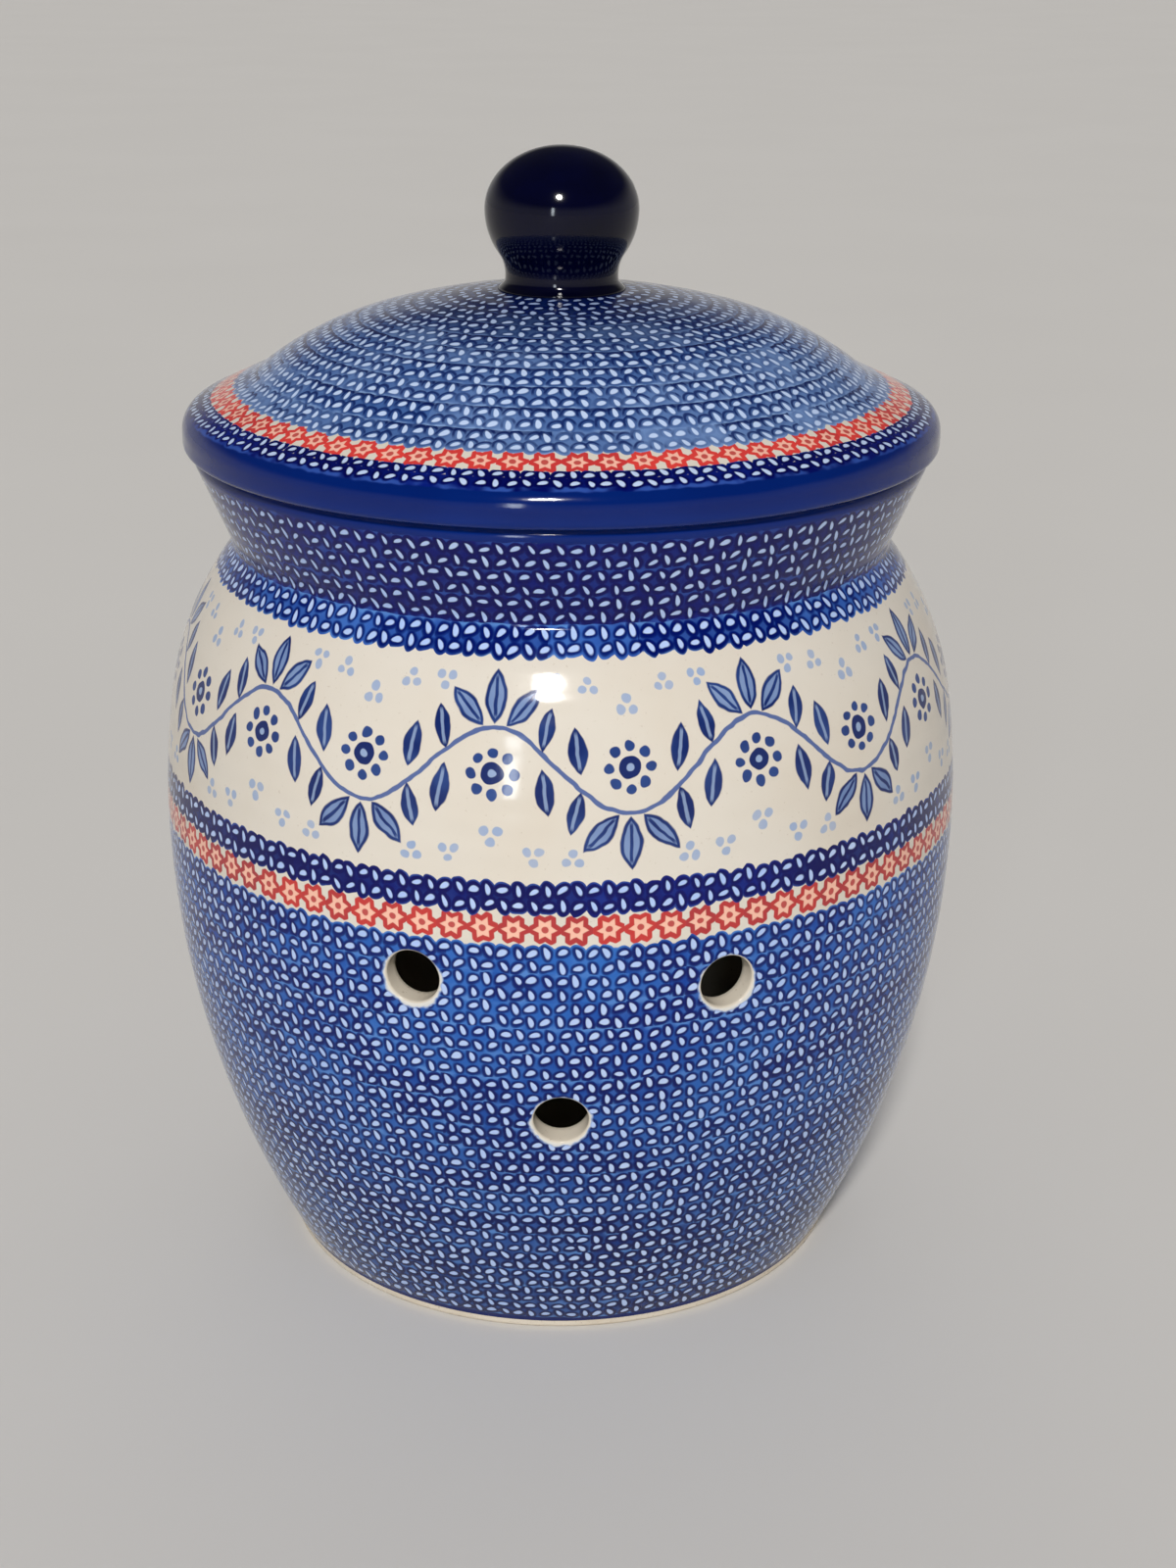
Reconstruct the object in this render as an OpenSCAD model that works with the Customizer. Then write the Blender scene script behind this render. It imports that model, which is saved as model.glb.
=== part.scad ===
// Potato storage jar: a thrown stoneware barrel with a flared collar and three vent holes,
// closed by a loose domed lid with a ball knob.
// The front, with the vent holes, faces -Y. The foot stands on z = 0.

/* [Barrel] */
// Widest diameter of the barrel
belly_d = 300; // [280:1:330]
// Height of the widest point
belly_z = 172; // [150:1:185]
// Radius of the outline's curve just above the widest point
belly_curve = 300; // [220:5:400]
// Height where the shoulder's tighter curve begins
shoulder_z = 220; // [205:1:232]
// Thickness of the wall
wall = 8.5; // [6:0.5:11]
// Thickness of the floor
floor_t = 9; // [7:0.5:12]
// Radius of the corner between floor and wall, inside
floor_fillet = 16; // [8:1:24]

/* [Foot] */
// Outer diameter of the foot
foot_d = 217; // [200:1:235]
// Height of the upright edge of the foot
foot_h = 3; // [2:0.5:6]
// Width of the ring that the jar stands on
foot_ring_w = 15; // [10:1:22]
// Depth of the hollow turned out under the floor
foot_recess = 4; // [2:0.5:6]
// Bevel on the outer lower edge of the foot
foot_bevel = 1; // [0.5:0.1:1.5]

/* [Collar] */
// Diameter at the crease between shoulder and collar
crease_d = 241; // [232:1:250]
// Height of the crease
crease_z = 275.5; // [268:0.5:284]
// Radius of the fillet in the crease
crease_fillet = 4; // [2:0.5:8]
// Height of the collar from crease to rim
collar_h = 35.5; // [30:0.5:44]
// Outer diameter of the rim
rim_d = 271; // [264:1:273]
// Radius of the rim's outer edge
rim_out_r = 3.5; // [2:0.1:4]
// Radius of the rim's inner edge
rim_in_r = 2; // [1:0.1:2.5]

/* [Vent holes] */
// Diameter of a vent hole
vent_d = 19; // [14:0.5:24]
// Width of the softened edge of a vent hole
vent_edge = 1; // [0.5:0.1:2]
// Angle from the front line to the upper left hole
vent_left_angle = 19.5; // [12:0.5:30]
// Height of the upper left hole
vent_left_z = 159; // [145:0.5:165]
// Angle from the front line to the upper right hole
vent_right_angle = 22; // [12:0.5:30]
// Height of the upper right hole
vent_right_z = 156; // [145:0.5:165]
// Height of the lower hole
vent_low_z = 106; // [80:0.5:115]

/* [Lid] */
// Outer diameter of the lid
lid_d = 275; // [270:1:284]
// Height of the crown above the rim
lid_rise = 55; // [50:1:64]
// Radius of the crown's curve
crown_r = 260; // [220:5:320]
// Diameter where the crown passes into the dome's steeper edge
crown_d = 138; // [120:1:146]
// Radius of the curve of the dome's edge
dome_r = 120; // [100:2:130]
// Steepest slope of the dome, in degrees
dome_slope = 37.5; // [34:0.5:40]
// Radius of the cove between dome and flange
cove_r = 20; // [10:1:24]
// Slope of the flange, in degrees
flange_slope = 25; // [22:0.5:27]
// Radius of the lid's rolled upper edge
lid_edge_r = 8.5; // [7:0.1:9.5]
// Radius of the lid's lower edge
lid_under_r = 2.5; // [1.5:0.1:3]
// Thickness of the dome
lid_wall = 7.5; // [6:0.5:10]
// Depth of the locating ring below the rim
ring_h = 12; // [8:0.5:18]
// Thickness of the locating ring
ring_t = 7; // [5:0.5:10]
// Radius of the locating ring's lower edges
ring_edge_r = 2; // [1:0.1:2.4]
// Radius of the corner between ring and dome, inside
lid_fillet = 10; // [6:0.5:14]
// Play between the locating ring and the collar
seat_clearance = 1.5; // [0.8:0.1:3]

/* [Knob] */
// Widest diameter of the knob
knob_d = 55.2; // [50:0.2:64]
// Height of the knob
knob_h = 50; // [46:0.5:58]
// Height from the knob's widest point to its top
knob_cap_h = 22; // [18:0.5:24]
// Depth of the ball's curve below the widest point
knob_drop = 27; // [25:0.5:29]
// Diameter of the waist below the ball
waist_d = 40.6; // [36:0.2:44]
// Height of the waist above the lid
waist_h = 4.8; // [3.5:0.1:6]
// Diameter of the knob's foot
knob_foot_d = 46.4; // [45:0.2:52]

/* [Hidden] */
$fn = 96;
// Largest distance between a curve and the steps that draw it
curve_tolerance = 0.04;
// Points closer than this count as one
same_point = 0.01;
// How far a cutter runs past what it cuts
cut_over = 20;
// How far the round face falls away at the side of a vent hole
vent_dip = vent_d * vent_d / (4 * belly_d);

belly_r = belly_d / 2;
foot_r = foot_d / 2;
crease_r = crease_d / 2;
rim_z = crease_z + collar_h;
floor_z = foot_recess + floor_t;

// Points on a circle from one angle to another
function arc(centre, r, from, to) =
    let (steps = max(2, ceil(abs(to - from) / (2 * acos(1 - curve_tolerance / r)))))
    [for (i = [0:steps]) centre + r * angled(from + (to - from) * i / steps)];
function angled(a) = [cos(a), sin(a)];
function angle_of(v) = atan2(v[1], v[0]);
function unit(v) = v / norm(v);

// Points on a cubic curve between p and s, drawn towards q and r
function cubic(p, q, r, s, steps) =
    [for (i = [0:steps]) let (t = i / steps, u = 1 - t)
        u * u * u * p + 3 * u * u * t * q + 3 * u * t * t * r + t * t * t * s];

// An outline without points that repeat the one before
function clean(points) =
    [for (i = [0:len(points) - 1])
        if (i == 0 || norm(points[i] - points[i - 1]) > same_point) points[i]];

// The barrel's outline: one arc from foot to belly, one above it, one for the shoulder.
// Each pair shares a tangent where it meets.
low_r = (pow(belly_r - foot_r, 2) + pow(belly_z - foot_h, 2)) / (2 * (belly_r - foot_r));
low_c = [belly_r - low_r, belly_z];
high_c = [belly_r - belly_curve, belly_z];
shoulder_a = asin((shoulder_z - belly_z) / belly_curve);
shoulder_p = high_c + belly_curve * angled(shoulder_a);
crease_p = [crease_r, crease_z];
to_crease = crease_p - shoulder_p;
shoulder_r = -(to_crease * to_crease) / (2 * to_crease * angled(shoulder_a));
shoulder_c = shoulder_p - shoulder_r * angled(shoulder_a);

// The collar leans out by this angle from the crease to the rim
collar_lean = atan2(rim_d / 2 - crease_r, collar_h);
collar_u = [sin(collar_lean), cos(collar_lean)];
collar_n = [cos(collar_lean), -sin(collar_lean)];
function collar_at(z, inset) = crease_r + (z - crease_z) * tan(collar_lean) - inset / cos(collar_lean);

// The crease fillet touches the shoulder's arc and the collar's line
crease_w = crease_p + crease_fillet * collar_n - shoulder_c;
crease_t = -crease_w * collar_u
    + sqrt(pow(crease_w * collar_u, 2) + pow(shoulder_r + crease_fillet, 2) - crease_w * crease_w);
crease_c = shoulder_c + crease_w + crease_t * collar_u;
crease_a = angle_of(crease_c - shoulder_c);

// The inside corner of the floor touches the floor and the inner face of the wall
floor_c = let (r = low_r - wall - floor_fillet, z = floor_z + floor_fillet)
    [low_c[0] + sqrt(r * r - pow(belly_z - z, 2)), z];
floor_a = angle_of(floor_c - low_c);

// The wall's face at a depth below the outer one, from the foot to the crease
function barrel_face(inset, from_a) = concat(
    arc(low_c, low_r - inset, from_a, 0),
    arc(high_c, belly_curve - inset, 0, shoulder_a),
    arc(shoulder_c, shoulder_r - inset, shoulder_a, crease_a),
    arc(crease_c, crease_fillet + inset, crease_a + 180, 180 - collar_lean));

rim_out_c = [collar_at(rim_z - rim_out_r, rim_out_r), rim_z - rim_out_r];
rim_in_c = [collar_at(rim_z - rim_in_r, wall - rim_in_r), rim_z - rim_in_r];

function reversed(points) = [for (i = [len(points) - 1:-1:0]) points[i]];

jar_outline = clean(concat(
    [[0, foot_recess],
     [foot_r - foot_ring_w - foot_recess, foot_recess],
     [foot_r - foot_ring_w, 0],
     [foot_r - foot_bevel, 0],
     [foot_r, foot_bevel]],
    barrel_face(0, angle_of([foot_r, foot_h] - low_c)),
    arc(rim_out_c, rim_out_r, -collar_lean, 90),
    arc(rim_in_c, rim_in_r, 90, 180 - collar_lean),
    reversed(barrel_face(wall, floor_a)),
    arc(floor_c, floor_fillet, floor_a, -90),
    [[0, floor_z]]));

// The lid's outline: crown, dome edge, cove, flange and rolled edge, tangent to each other
lid_r = lid_d / 2;
apex_z = rim_z + lid_rise;
crown_c = [0, apex_z - crown_r];
crown_a = asin(crown_d / 2 / crown_r);
dome_c = crown_c + (crown_r - dome_r) * [sin(crown_a), cos(crown_a)];
cove_c = dome_c + (dome_r + cove_r) * [sin(dome_slope), cos(dome_slope)];
flange_p = cove_c - cove_r * [sin(flange_slope), cos(flange_slope)];
edge_x = lid_r - lid_edge_r;
edge_c = [edge_x,
    flange_p[1] - (edge_x + lid_edge_r * sin(flange_slope) - flange_p[0]) * tan(flange_slope)
        - lid_edge_r * cos(flange_slope)];

// The locating ring clears the collar where it hangs lowest, because the collar narrows downwards
ring_z = rim_z - ring_h;
ring_out = collar_at(ring_z, wall) - seat_clearance;
ring_in = ring_out - ring_t;
inner_c = let (r = dome_r - lid_wall - lid_fillet, x = ring_in - lid_fillet)
    [x, dome_c[1] + sqrt(r * r - pow(x - dome_c[0], 2))];
inner_a = angle_of(inner_c - dome_c);

// The knob stands on a flat on the crown
knob_foot_r = knob_foot_d / 2;
knob_seat_a = asin(knob_foot_r / crown_r);
knob_z = crown_c[1] + crown_r * cos(knob_seat_a);

lid_outline = clean(concat(
    [[0, knob_z]],
    arc(crown_c, crown_r, 90 - knob_seat_a, 90 - crown_a),
    arc(dome_c, dome_r, 90 - crown_a, 90 - dome_slope),
    arc(cove_c, cove_r, 270 - dome_slope, 270 - flange_slope),
    arc(edge_c, lid_edge_r, 90 - flange_slope, 0),
    arc([lid_r - lid_under_r, rim_z + lid_under_r], lid_under_r, 0, -90),
    [[ring_out, rim_z]],
    arc([ring_out - ring_edge_r, ring_z + ring_edge_r], ring_edge_r, 0, -90),
    arc([ring_in + ring_edge_r, ring_z + ring_edge_r], ring_edge_r, 270, 180),
    arc(inner_c, lid_fillet, 0, inner_a),
    arc(dome_c, dome_r - lid_wall, inner_a, 90 - crown_a),
    arc(crown_c, crown_r - lid_wall, 90 - crown_a, 90)));

// The knob's outline: an oval ball, a waist and a flared foot
knob_r = knob_d / 2;
waist_r = waist_d / 2;
ball_z = knob_z + knob_h - knob_cap_h;
function ball(a) = [knob_r * cos(a), ball_z + (a < 0 ? knob_drop : knob_cap_h) * sin(a)];
// The ball passes into the neck at this angle below its widest point
neck_a = -35;
neck_p = ball(neck_a);
neck_u = unit([knob_r * sin(neck_a), -knob_drop * cos(neck_a)]);
waist_p = [waist_r, knob_z + waist_h];
neck_pull = norm(neck_p - waist_p) / 3;
foot_pull = waist_h / 2;
ball_steps = 40;
neck_steps = 12;

knob_outline = clean(concat(
    [[0, knob_z], [knob_foot_r, knob_z]],
    cubic([knob_foot_r, knob_z], [knob_foot_r - foot_pull, knob_z + foot_pull],
        waist_p - [0, foot_pull], waist_p, neck_steps),
    cubic(waist_p, waist_p + [0, neck_pull], neck_p + neck_pull * neck_u, neck_p, neck_steps),
    [for (i = [0:ball_steps]) ball(neck_a + (90 - neck_a) * i / ball_steps)]));

// A cutter for one vent hole, square to the barrel's face, with a softened outer edge
module vent(turn, z) {
    lower = z < belly_z;
    face_r = lower ? low_r : belly_curve;
    face_a = asin((z - belly_z) / face_r);
    face_p = (lower ? low_c : high_c) + face_r * angled(face_a);
    rotate([0, 0, turn - 90])
        translate([face_p[0], 0, face_p[1]])
            rotate([0, 90 - face_a, 0]) {
                translate([0, 0, -cut_over]) cylinder(d = vent_d, h = 2 * cut_over);
                translate([0, 0, -vent_edge - vent_dip])
                    cylinder(d1 = vent_d, d2 = vent_d + 2 * cut_over, h = cut_over);
            }
}

module jar() {
    color([0.24, 0.36, 0.64])
        difference() {
            rotate_extrude() polygon(jar_outline);
            vent(-vent_left_angle, vent_left_z);
            vent(vent_right_angle, vent_right_z);
            vent(0, vent_low_z);
        }
}

module lid() {
    color([0.36, 0.47, 0.68])
        rotate_extrude() polygon(lid_outline);
}

module knob() {
    color([0.03, 0.04, 0.16])
        rotate_extrude() polygon(knob_outline);
}

jar();
lid();
knob();
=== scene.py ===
"""Looks of the potato storage jar: turned stoneware with a hand-stamped, clear-glazed decoration."""
from math import asin, atan2, cos, dist, pi, radians, sin, sqrt, tan
from types import SimpleNamespace

import bpy
import numpy as np
from mathutils import Matrix, Vector


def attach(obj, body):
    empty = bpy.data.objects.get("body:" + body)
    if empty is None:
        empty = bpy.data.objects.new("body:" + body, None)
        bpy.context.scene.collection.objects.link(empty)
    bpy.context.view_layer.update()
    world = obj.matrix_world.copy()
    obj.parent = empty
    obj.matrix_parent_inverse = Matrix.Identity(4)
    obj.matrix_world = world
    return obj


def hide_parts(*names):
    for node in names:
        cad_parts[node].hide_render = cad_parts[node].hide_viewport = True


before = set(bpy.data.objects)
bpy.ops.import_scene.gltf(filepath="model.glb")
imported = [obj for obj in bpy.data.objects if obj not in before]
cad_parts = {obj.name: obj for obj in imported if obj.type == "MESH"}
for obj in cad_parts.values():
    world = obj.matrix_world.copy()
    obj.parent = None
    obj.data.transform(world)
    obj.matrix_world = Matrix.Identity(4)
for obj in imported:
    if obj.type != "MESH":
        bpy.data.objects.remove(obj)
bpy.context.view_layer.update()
scene = bpy.context.scene

# Sizes of the turned forms in millimetres, the same as the solids have
BELLY_R, BELLY_Z, BELLY_CURVE, SHOULDER_Z = 150.0, 172.0, 300.0, 220.0
WALL, FLOOR_Z, FLOOR_FILLET = 8.5, 13.0, 16.0
FOOT_R, FOOT_H, FOOT_RING, FOOT_RECESS = 108.5, 3.0, 15.0, 4.0
CREASE_R, CREASE_Z, CREASE_FILLET = 120.5, 275.5, 4.0
RIM_R, RIM_Z, RIM_OUT, RIM_IN = 135.5, 311.0, 3.5, 2.0
VENT_R, VENT_EDGE = 9.5, 1.0
VENTS = ((-19.5, 159.0), (22.0, 156.0), (0.0, 106.0))  # degrees from the front, and height
LID_R, LID_RISE, CROWN_CURVE, CROWN_R, DOME_CURVE = 137.5, 55.0, 260.0, 69.0, 120.0
DOME_SLOPE, COVE_CURVE, FLANGE_SLOPE = radians(37.5), 20.0, radians(25.0)
LID_EDGE, LID_UNDER, LID_WALL, RING_H, RING_T = 8.5, 2.5, 7.5, 12.0, 7.0
RING_EDGE, LID_FILLET, SEAT_PLAY = 2.0, 10.0, 1.5
KNOB_R, KNOB_H, KNOB_CAP, KNOB_DROP, NECK_ANGLE = 27.6, 50.0, 22.0, 27.0, radians(-35)
WAIST_R, WAIST_H, KNOB_FOOT = 20.3, 4.8, 23.2

# Edges of the painted bands: heights on the jar, radii on the lid, and distances along the outline
RED_Z, NAVY_Z, FRIEZE_Z, SHOULDER_BAND_Z, RIM_BAND_Z = 175.5, 185.0, 197.5, 265.5, 307.0
LID_RED_R, LID_NAVY_R = 119.5, 128.2
BODY_START, LID_RIM_START, RIM_RUN = 2.6, 3.2, 7.0
BODY_STRIPS, COLLAR_STRIPS, DOME_STRIPS = 17, 3, 10
CELL, SCALLOP = 4.95, 1.2  # width of a stamped grain's cell, and what the strips keep free beside the red
JAR_STARS, LID_STARS, STAR_PITCH, JAR_STAR_R, LID_STAR_R = 90.0, 74.0, 10.45, 4.05, 3.55
VINE_BENDS, BEND_W, BEND_H = 20, 44.6, 14.0

# How the meshes are divided and laid out
COLUMNS = 288
JAR_STEPS, LID_STEPS = (55, 15, 20, 8, 9, 8), (4, 16, 18, 5, 5, 12, 3, 5)  # for each piece of outline
UNDER_STEPS = 6, 4, 5, 2, 5, 6, 8, 16, 22
VENT_CELLS = 10  # a vent hole takes up a square of this many cells of the jar's grid
V_UNIT = 100.0  # millimetres in one unit of the pattern's second coordinate
AXIS_FADE = 40.0  # the unevenness of the throwing fades out within this radius
DECOR, INSIDE, CLAY = 0, 1, 2  # material slots
QUARTER, NEAR = pi / 2, 1e-6


def polar(a):
    return np.array([cos(a), sin(a)])


def angle_of(v):
    return atan2(v[1], v[0])


def run_of(points):
    """The distance of each point along a line of points."""
    return np.concatenate([[0.0], np.cumsum([dist(a, b) for a, b in zip(points, points[1:])])])


class Arc:
    """A piece of outline on a circle. A hollow one has its centre outside the clay."""

    def __init__(self, centre, r, start, stop, hollow=False):
        self.centre, self.r, self.start, self.stop = np.array(centre), r, start, stop
        self.length, self.side = r * abs(stop - start), -1 if hollow else 1

    def at(self, t, inset=0.0):
        a = self.start + (self.stop - self.start) * t / self.length
        return self.centre + (self.r - self.side * inset) * polar(a), self.side * polar(a)


class Line:
    """A straight piece of outline, with the clay on its left."""

    def __init__(self, p, q):
        self.p, self.d = np.array(p), np.subtract(q, p)
        self.length = float(np.linalg.norm(self.d))
        self.d = self.d / self.length

    def at(self, t, inset=0.0):
        n = np.array([self.d[1], -self.d[0]])
        return self.p + self.d * t - inset * n, n


class Path:
    """Pieces of outline joined end to end and measured along their length."""

    def __init__(self, pieces):
        self.pieces = pieces
        self.starts = np.concatenate([[0.0], np.cumsum([p.length for p in pieces])])
        self.length = float(self.starts[-1])

    def at(self, s, inset=0.0):
        """The point and the outward normal at a distance, inset into the clay."""
        k = int(np.clip(np.searchsorted(self.starts, s, "right") - 1, 0, len(self.pieces) - 1))
        return self.pieces[k].at(s - self.starts[k], inset)

    def steps(self, counts):
        """Distances that cut each piece into its count of equal steps."""
        cuts = [np.linspace(a, b, n + 1)[:-1] for a, b, n in zip(self.starts, self.starts[1:], counts)]
        return np.concatenate(cuts + [[self.length]])

    def where(self, axis, value, upto, samples=4000):
        """The distance at which the outline reaches a height (axis 1) or radius (axis 0)."""
        s = np.linspace(0, upto, samples)
        return float(np.interp(value, [self.at(v)[0][axis] for v in s], s))

    def radius_fit(self, start, stop, samples=60):
        """A quadratic for the radius along a stretch, by the share of its end's distance."""
        s = np.linspace(start, stop, samples)
        return [float(v) for v in np.polyfit(s / stop, [self.at(v)[0][0] for v in s], 2)]


# The jar's outer face: three tangent arcs, the crease, the leaning collar and the rounded rim
low_r = ((BELLY_R - FOOT_R) ** 2 + (BELLY_Z - FOOT_H) ** 2) / (2 * (BELLY_R - FOOT_R))
low_c = np.array([BELLY_R - low_r, BELLY_Z])
high_c = np.array([BELLY_R - BELLY_CURVE, BELLY_Z])
shoulder_a = asin((SHOULDER_Z - BELLY_Z) / BELLY_CURVE)
shoulder_p = high_c + BELLY_CURVE * polar(shoulder_a)
crease_p = np.array([CREASE_R, CREASE_Z])
to_crease = crease_p - shoulder_p
shoulder_r = -(to_crease @ to_crease) / (2 * to_crease @ polar(shoulder_a))
shoulder_c = shoulder_p - shoulder_r * polar(shoulder_a)
lean = atan2(RIM_R - CREASE_R, RIM_Z - CREASE_Z)
collar_u = np.array([sin(lean), cos(lean)])
collar_n = np.array([cos(lean), -sin(lean)])
crease_w = crease_p + CREASE_FILLET * collar_n - shoulder_c
crease_t = -crease_w @ collar_u + sqrt(
    (crease_w @ collar_u) ** 2 + (shoulder_r + CREASE_FILLET) ** 2 - crease_w @ crease_w)
crease_c = shoulder_c + crease_w + crease_t * collar_u
crease_a = angle_of(crease_c - shoulder_c)


def collar_at(z, inset):
    return CREASE_R + (z - CREASE_Z) * tan(lean) - inset / cos(lean)


rim_out_c = np.array([collar_at(RIM_Z - RIM_OUT, RIM_OUT), RIM_Z - RIM_OUT])
rim_in_c = np.array([collar_at(RIM_Z - RIM_IN, WALL - RIM_IN), RIM_Z - RIM_IN])
jar_face = Path([
    Arc(low_c, low_r, angle_of(np.array([FOOT_R, FOOT_H]) - low_c), 0.0),
    Arc(high_c, BELLY_CURVE, 0.0, shoulder_a),
    Arc(shoulder_c, shoulder_r, shoulder_a, crease_a),
    Arc(crease_c, CREASE_FILLET, crease_a + pi, pi - lean, hollow=True),
    Line(crease_c - CREASE_FILLET * collar_n, rim_out_c + RIM_OUT * collar_n),
    Arc(rim_out_c, RIM_OUT, -lean, QUARTER),
])
crease_s, collar_s, rim_s = jar_face.starts[3:6]
face_s = jar_face.steps(JAR_STEPS)
floor_z = FLOOR_Z + FLOOR_FILLET
floor_out = sqrt((low_r - WALL - FLOOR_FILLET) ** 2 - (BELLY_Z - floor_z) ** 2)
floor_c = np.array([low_c[0] + floor_out, floor_z])
floor_a = angle_of(floor_c - low_c)

# The lid's upper face from the axis outwards, and its underside
crown_c = np.array([0.0, RIM_Z + LID_RISE - CROWN_CURVE])
crown_a = asin(CROWN_R / CROWN_CURVE)
dome_c = crown_c + (CROWN_CURVE - DOME_CURVE) * polar(QUARTER - crown_a)
cove_c = dome_c + (DOME_CURVE + COVE_CURVE) * polar(QUARTER - DOME_SLOPE)
flange_p = cove_c - COVE_CURVE * polar(QUARTER - FLANGE_SLOPE)
edge_x = LID_R - LID_EDGE
edge_c = np.array([edge_x, flange_p[1] - (edge_x + LID_EDGE * sin(FLANGE_SLOPE) - flange_p[0])
                   * tan(FLANGE_SLOPE) - LID_EDGE * cos(FLANGE_SLOPE)])
seat_a = asin(KNOB_FOOT / CROWN_CURVE)
knob_z = float(crown_c[1] + CROWN_CURVE * cos(seat_a))
edge_p = edge_c + LID_EDGE * polar(QUARTER - FLANGE_SLOPE)
under_c = np.array([LID_R - LID_UNDER, RIM_Z + LID_UNDER])
lid_face = Path([
    Line((0.0, knob_z), (KNOB_FOOT, knob_z)),
    Arc(crown_c, CROWN_CURVE, QUARTER - seat_a, QUARTER - crown_a),
    Arc(dome_c, DOME_CURVE, QUARTER - crown_a, QUARTER - DOME_SLOPE),
    Arc(cove_c, COVE_CURVE, 3 * QUARTER - DOME_SLOPE, 3 * QUARTER - FLANGE_SLOPE, hollow=True),
    Line(flange_p, edge_p),
    Arc(edge_c, LID_EDGE, QUARTER - FLANGE_SLOPE, 0.0),
    Line((LID_R, edge_c[1]), (LID_R, under_c[1])),
    Arc(under_c, LID_UNDER, 0.0, -QUARTER),
])
lid_roll, lid_turn = (float(v) for v in lid_face.starts[5:7])
ring_z = RIM_Z - RING_H
ring_out = collar_at(ring_z, WALL) - SEAT_PLAY
ring_in = ring_out - RING_T
inner_x = ring_in - LID_FILLET
inner_rise = sqrt((DOME_CURVE - LID_WALL - LID_FILLET) ** 2 - (inner_x - dome_c[0]) ** 2)
inner_c = np.array([inner_x, dome_c[1] + inner_rise])
inner_a = angle_of(inner_c - dome_c)
lid_under = Path([
    Line((LID_R - LID_UNDER, RIM_Z), (ring_out, RIM_Z)),
    Line((ring_out, RIM_Z), (ring_out, ring_z + RING_EDGE)),
    Arc((ring_out - RING_EDGE, ring_z + RING_EDGE), RING_EDGE, 0.0, -QUARTER),
    Line((ring_out - RING_EDGE, ring_z), (ring_in + RING_EDGE, ring_z)),
    Arc((ring_in + RING_EDGE, ring_z + RING_EDGE), RING_EDGE, 3 * QUARTER, pi),
    Line((ring_in, ring_z + RING_EDGE), (ring_in, inner_c[1])),
    Arc(inner_c, LID_FILLET, 0.0, inner_a),
    Arc(dome_c, DOME_CURVE - LID_WALL, inner_a, QUARTER - crown_a),
    Arc(crown_c, CROWN_CURVE - LID_WALL, QUARTER - crown_a, QUARTER),
])


def add_object(name, data):
    thing = bpy.data.objects.new(name, data)
    scene.collection.objects.link(thing)
    return thing


class Lathe:
    """Collects the rings and faces of a turned piece and makes its mesh."""

    def __init__(self, wobble):
        self.wobble = wobble
        self.points, self.faces, self.slots, self.pattern, self.bake = [], [], [], [], []

    def loop(self, points):
        """A closed loop of vertices, given in millimetres."""
        first = len(self.points)
        self.points += [tuple(v / 1000 for v in p) for p in points]
        return [*range(first, len(self.points)), first]

    def ring(self, r, z):
        """A closed loop round the axis, or one vertex on it."""
        if r < NEAR:
            return self.loop([(0.0, 0.0, z)])[:1] * (COLUMNS + 1)
        turns = [QUARTER + 2 * pi * i / COLUMNS for i in range(COLUMNS)]
        fade = min(1.0, r / AXIS_FADE)
        return self.loop([(*(polar(a) * (r + self.wobble(a, z) * fade)), z) for a in turns])

    def strip(self, loops, places, slot, bake, skip=()):
        """The faces between two closed loops.

        places has each vertex's place on the pattern. bake(u, v, u_middle) gives its place on the baked map.
        """
        (low, high), (p, q) = loops, places
        for i in range(len(low) - 1):
            if i in skip:
                continue
            corners, uv = (low[i], low[i + 1], high[i + 1], high[i]), (p[i], p[i + 1], q[i + 1], q[i])
            keep = [k for k in range(4) if corners[k] != corners[k - 1]]
            middle = (p[i][0] + p[i + 1][0]) / 2
            self.faces.append([corners[k] for k in keep])
            self.slots.append(slot)
            self.pattern += [uv[k] for k in keep]
            self.bake += [bake(*uv[k], middle) for k in keep]

    def bands(self, rings, run, slot, bake, skip=lambda k: ()):
        """The faces between rings, from their places along the pattern. slot(k) and skip(k) are band k's."""
        places = [[(i / COLUMNS, v) for i in range(COLUMNS + 1)] for v in run]
        for k in range(len(rings) - 1):
            self.strip(rings[k:k + 2], places[k:k + 2], slot(k), bake, skip(k))

    def mesh(self, name, materials):
        """The piece, without the vertices that no face uses."""
        used = sorted({v for f in self.faces for v in f})
        new = {v: k for k, v in enumerate(used)}
        mesh = bpy.data.meshes.new(name)
        mesh.from_pydata([self.points[v] for v in used], [], [[new[v] for v in f] for f in self.faces])
        mesh.polygons.foreach_set("material_index", self.slots)
        mesh.shade_smooth()
        for layer, values in (("OFBake", self.bake), ("pattern", self.pattern)):
            uv = mesh.uv_layers.new(name=layer)
            uv.data.foreach_set("uv", np.array(values, dtype=np.float32).ravel())
        mesh.validate()
        for m in materials:
            mesh.materials.append(m)
        return add_object(name, mesh)


# How a material is written: signals that operators and functions join into shader nodes
class Signal:
    """An output of a shader node. The operations below are added to it as methods."""

    def __init__(self, net, socket):
        self.net, self.socket = net, socket

    def other(self, key):
        """Another output of the same node."""
        return Signal(self.net, self.socket.node.outputs[key])

    def __rsub__(self, first):
        return self.net.math("SUBTRACT", first, self)


def math_method(operation):
    return lambda self, *others: self.net.math(operation, self, *others)


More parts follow.
